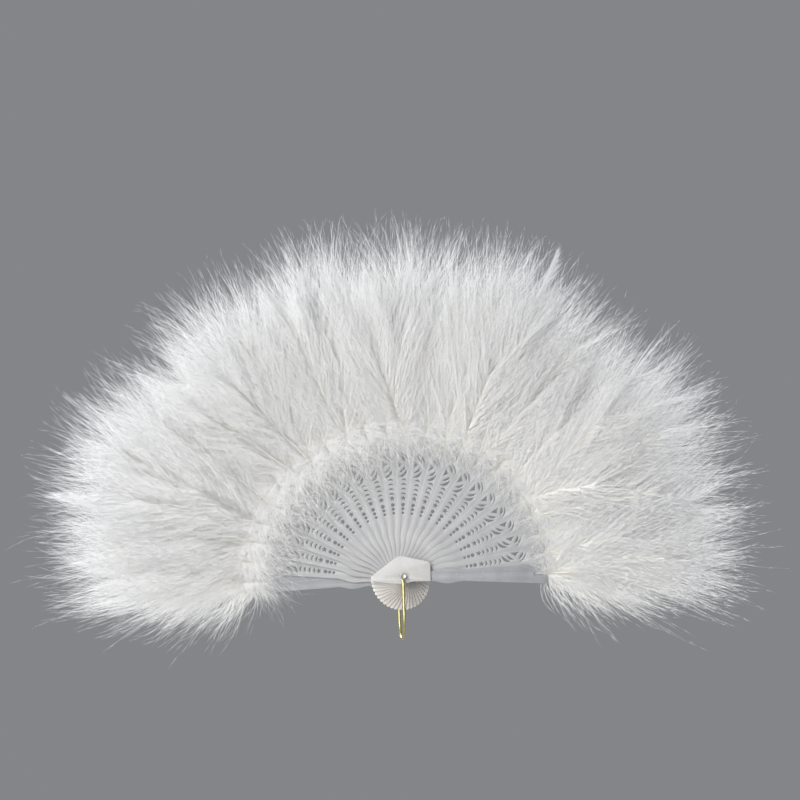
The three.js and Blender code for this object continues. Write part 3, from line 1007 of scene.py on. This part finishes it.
def make_plumes():
    for index in range(STICKS):
        node_name, plume_name, body = stick_names(index)
        low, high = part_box(node_name)
        layer = (low.y + high.y) / 2
        furthest = WISP_TOP + (WISP_SIDE - WISP_TOP) * math.cos(index * PITCH) ** 2
        lines = [into_layer(group, layer, furthest) for group in plume_lines(index)]
        quills, barbs, barbules, foot, foot_barbules = lines
        mesh = strand_mesh([
            (quills, QUILL_RADIUS, (0.0, 1.0), QUILL_SLOT),
            (barbs, BARB_RADIUS, (0.0, 1.0), DOWN_SLOT),
            (barbules, BARBULE_RADIUS, (0.3, 1.0), DOWN_SLOT),
            (foot, BARB_RADIUS * FOOT_FINENESS, (0.3, 1.0), DOWN_SLOT),
            (foot_barbules, BARBULE_RADIUS * FOOT_FINENESS, (0.5, 1.0), DOWN_SLOT),
        ])
        mesh.transform(Matrix.Rotation(-index * PITCH, 4, "Y"))
        piece = add_object(f"{plume_name}_down", mesh, DOWN, QUILL)
        stand_for(piece, plume_name, body)


# The room
def seen_rays(tree):
    """1 for rays that see the background: the camera's, and those in mirrors and glass."""
    path = tree.nodes.new("ShaderNodeLightPath")
    total = path.outputs["Is Camera Ray"]
    for kind in ("Is Glossy Ray", "Is Transmission Ray"):
        larger = node(tree, "ShaderNodeMath", operation="MAXIMUM")
        tree.links.new(total, larger.inputs[0])
        tree.links.new(path.outputs[kind], larger.inputs[1])
        total = larger.outputs["Value"]
    return total


def pick_shader(tree, share, first, second, output):
    """Mixes two shaders by share into output's surface."""
    pick = tree.nodes.new("ShaderNodeMixShader")
    tree.links.new(share, pick.inputs["Fac"])
    tree.links.new(first, pick.inputs[1])
    tree.links.new(second, pick.inputs[2])
    tree.links.new(pick.outputs["Shader"], output.inputs["Surface"])


def make_floor():
    mesh = bpy.data.meshes.new("floor")
    work = bmesh.new()
    bmesh.ops.create_circle(work, cap_ends=True, radius=FLOOR_RADIUS, segments=FLOOR_SIDES)
    work.to_mesh(mesh)
    work.free()
    material, tree, shader = new_material("floor_paper", 0.9)
    colour = ramp(tree, noise(tree, 3, 2), [(0.3, 0.52), (0.7, 0.55)])
    tree.links.new(colour, shader.inputs["Base Color"])
    shown = node(tree, "ShaderNodeEmission", Color=FLOOR_SHOWN_COLOUR, Strength=1.0)
    share = node(tree, "ShaderNodeMath", operation="MULTIPLY")
    share.inputs[1].default_value = FLOOR_SHOWN_SHARE
    tree.links.new(seen_rays(tree), share.inputs[0])
    output = tree.nodes["Material Output"]
    pick_shader(
        tree, share.outputs["Value"], shader.outputs["BSDF"], shown.outputs["Emission"], output
    )
    floor = add_object("floor", mesh, material)
    floor.location.z = FLOOR_LEVEL


def make_lamps():
    for name, (place, size, power) in LAMPS.items():
        lamp = bpy.data.lights.new(name, "AREA")
        lamp.size = size
        lamp.energy = power
        made = bpy.data.objects.new(name, lamp)
        bpy.context.scene.collection.objects.link(made)
        made.location = place
        aim = Vector(LAMP_AIM) - Vector(place)
        made.rotation_euler = aim.to_track_quat("-Z", "Y").to_euler()


def make_world():
    """Soft light from all sides, and a plain grey backdrop for the rays that see it."""
    world = bpy.data.worlds.new("studio")
    bpy.context.scene.world = world
    world.use_nodes = True
    tree = world.node_tree
    tree.nodes.clear()
    light = node(tree, "ShaderNodeBackground", Color=WORLD_COLOUR, Strength=WORLD_LIGHT)
    shown = node(tree, "ShaderNodeBackground", Color=BACKDROP_COLOUR, Strength=1.0)
    output = tree.nodes.new("ShaderNodeOutputWorld")
    pick_shader(
        tree, seen_rays(tree), light.outputs["Background"], shown.outputs["Background"], output
    )


def make_camera():
    """Aims at the point of the fan's plane that the photograph has in its middle."""
    across = (IMAGE_SIDE / 2 - PIVOT_PIXEL[0]) * MM_PER_PIXEL * MM
    rise = (PIVOT_PIXEL[1] - IMAGE_SIDE / 2) * MM_PER_PIXEL * MM
    back = Vector((
        math.sin(CAMERA_AZIMUTH) * math.cos(CAMERA_ELEVATION),
        -math.cos(CAMERA_AZIMUTH) * math.cos(CAMERA_ELEVATION),
        math.sin(CAMERA_ELEVATION),
    ))
    turn = (-back).to_track_quat("-Z", "Y").to_matrix().to_4x4()
    turn = turn @ Matrix.Rotation(-CAMERA_ROLL, 4, "Z")
    right, up = turn.col[0].to_3d(), turn.col[1].to_3d()
    aim = Vector((0, RIVET_FRONT, 0)) + right * across + up * rise
    data = bpy.data.cameras.new("camera")
    data.sensor_width = SENSOR
    data.lens = SENSOR * CAMERA_DISTANCE / (IMAGE_SIDE * MM_PER_PIXEL * MM)
    camera = bpy.data.objects.new("camera", data)
    bpy.context.scene.collection.objects.link(camera)
    camera.matrix_world = Matrix.Translation(aim + back * CAMERA_DISTANCE) @ turn
    bpy.context.scene.camera = camera


make_camera()
make_sticks()
make_head_plate()
make_rivet()
make_loop()
make_plumes()
make_floor()
make_lamps()
make_world()
bpy.context.scene.view_settings.view_transform = "Standard"
